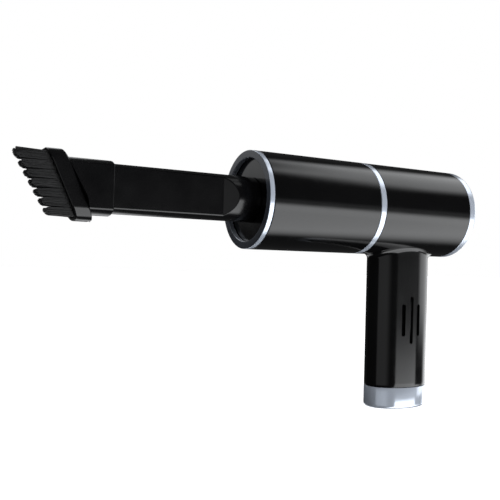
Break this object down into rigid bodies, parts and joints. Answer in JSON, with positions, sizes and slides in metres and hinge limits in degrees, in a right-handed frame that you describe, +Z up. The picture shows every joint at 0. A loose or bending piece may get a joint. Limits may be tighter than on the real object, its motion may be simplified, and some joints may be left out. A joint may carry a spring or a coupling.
{
  "type": "handheld vacuum",
  "caption": "Cordless handheld vacuum with a round barrel on an upright oval grip, a pull-off dust cup, a crevice nozzle and a slip-on brush.",
  "frame": {"origin": "centre of the grip's flat base", "axes": "+X along the barrel from the nozzle to the exhaust, +Z up the grip to the barrel, +Y to the right half of the housing"},
  "size_m": [0.3075, 0.062, 0.1675],
  "materials": {
    "gloss_black": "high gloss moulded plastic",
    "satin_black": "satin moulded plastic",
    "silver_trim": "bright silver paint over a plastic trim ring",
    "bristle": "tufts of black nylon bristle",
    "rubber": "matt",
    "filter_paper": "pleated filter paper",
    "grey_plastic": "plain moulded plastic",
    "steel": "plain",
    "brass": "sintered or turned brass",
    "copper": "copper segments",
    "dark_iron": "dark magnet, core and carbon pieces",
    "cell_wrap": "shrink-wrapped cell, aluminium for its average density",
    "circuit_board": "green board",
    "lens": "clear moulded plastic",
    "wire_skin": "soft insulation"
  },
  "bodies": {
    "housing": {"battery_cell_1": "cell_wrap", "battery_cell_2": "cell_wrap", "battery_tray": "grey_plastic", "carbon_brush_1": "dark_iron", "carbon_brush_2": "dark_iron", "cell_link_bottom": "steel", "cell_link_top": "steel", "charge_board": "circuit_board", "charge_port": "steel", "cup_seal": "rubber", "exhaust_grille": "gloss_black", "fan_shroud": "grey_plastic", "front_bearing": "brass", "handle_cap": "silver_trim", "housing_left": "gloss_black", "housing_right": "gloss_black", "housing_screw_lower": "steel", "housing_screw_upper": "steel", "intake_guard": "grey_plastic", "magnet_ring": "dark_iron", "mid_ring": "silver_trim", "motor_bracket": "grey_plastic", "motor_can": "steel", "motor_end_cap": "grey_plastic", "motor_lead_1": "wire_skin", "motor_lead_2": "wire_skin", "motor_rear_mount": "rubber", "motor_screw_1": "steel", "motor_screw_2": "steel", "power_switch": "grey_plastic", "rear_bearing": "brass", "rear_ring": "silver_trim", "status_lens": "lens", "switch_board": "circuit_board"},
    "cup": {"dust_cup": "gloss_black", "front_ring": "silver_trim", "flap_pin": "steel"},
    "flap": {"inlet_flap": "rubber"},
    "filter": {"filter_frame": "grey_plastic", "filter_media": "filter_paper", "filter_gasket": "rubber"},
    "nozzle": {"crevice_nozzle": "satin_black", "nozzle_seal": "rubber"},
    "brush": {"brush_head": "satin_black", "bristle_row_left": "bristle", "bristle_row_right": "bristle"},
    "rotor": {"impeller": "grey_plastic", "impeller_nut": "brass", "motor_shaft": "steel", "armature": "dark_iron", "commutator": "copper"},
    "button": {"power_button": "satin_black"}
  },
  "joints": [
    {"name": "cup_pull", "type": "slide", "parent": "housing", "child": "cup", "axis": [-1, 0, 0], "range_m": [0, 0.06]},
    {"name": "flap_swing", "type": "hinge", "parent": "cup", "child": "flap", "pos_m": [-0.1027, 0, 0.1529], "axis": [0, -1, 0], "range_deg": [0, 35], "stiffness_Nm_per_rad": 0.002},
    {"name": "nozzle_pull", "type": "slide", "parent": "cup", "child": "nozzle", "axis": [-1, 0, 0], "range_m": [0, 0.0165]},
    {"name": "brush_pull", "type": "slide", "parent": "nozzle", "child": "brush", "axis": [-1, 0, 0], "range_m": [0, 0.0135]},
    {"name": "filter_pull", "type": "slide", "parent": "housing", "child": "filter", "axis": [-1, 0, 0], "range_m": [0, 0.009]},
    {"name": "rotor_spin", "type": "hinge", "parent": "housing", "child": "rotor", "pos_m": [-0.0037, 0, 0.1365], "axis": [1, 0, 0], "continuous": true},
    {"name": "button_press", "type": "slide", "parent": "housing", "child": "button", "axis": [-1, 0, 0], "range_m": [0, 0.0012], "stiffness_N_per_m": 800}
  ]
}
